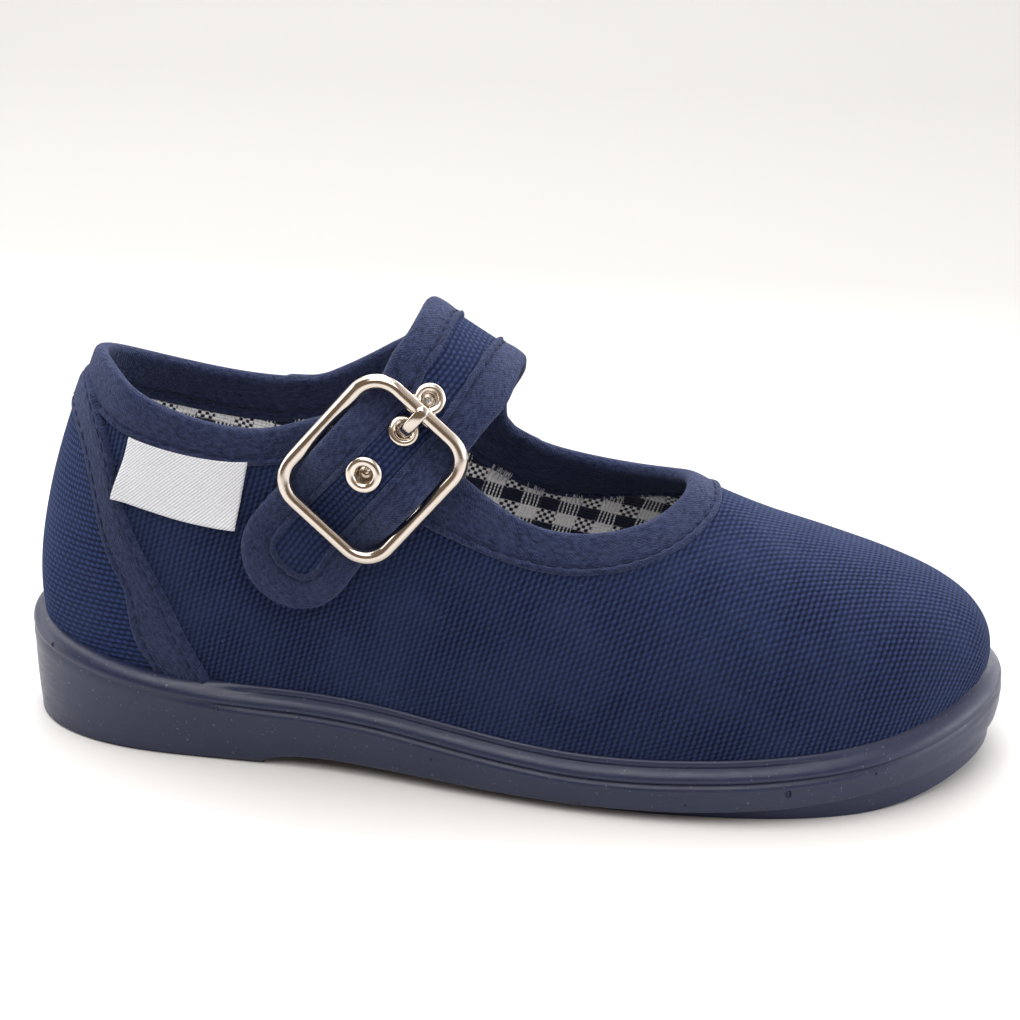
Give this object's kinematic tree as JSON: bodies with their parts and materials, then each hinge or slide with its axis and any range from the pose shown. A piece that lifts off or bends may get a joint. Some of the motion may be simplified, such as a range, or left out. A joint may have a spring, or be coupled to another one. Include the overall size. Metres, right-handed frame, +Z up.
{
  "type": "mary jane shoe",
  "caption": "Child's right mary jane shoe: ribbed canvas upper with a bound low collar, a buckled instep strap, a heel patch and a moulded rubber sole with a low heel.",
  "frame": {"origin": "on the ground under the middle of the shoe", "axes": "+X towards the toe, +Y towards the inner (medial) side with the buckle on -Y, +Z up"},
  "size_m": [0.1561, 0.0595, 0.0715],
  "materials": {
    "navy_rubber": "satin moulded",
    "lining_check": "woven check lining",
    "navy_canvas": "matt ribbed canvas",
    "counter_canvas": "matt ribbed canvas",
    "strap_canvas": "matt ribbed canvas with bound edges",
    "tab_tape": "matt woven tape",
    "frame_chrome": "polished nickel plate",
    "prong_chrome": "polished nickel plate",
    "eyelet_chrome": "polished nickel plate"
  },
  "bodies": {
    "root": {"outsole": "navy_rubber", "insole": "lining_check", "upper": "navy_canvas", "heel_counter": "counter_canvas", "strap": "strap_canvas", "buckle_tab": "tab_tape", "buckle_frame": "frame_chrome", "buckle_prong": "prong_chrome", "eyelet_1": "eyelet_chrome", "eyelet_2": "eyelet_chrome", "eyelet_3": "eyelet_chrome"}
  },
  "joints": []
}
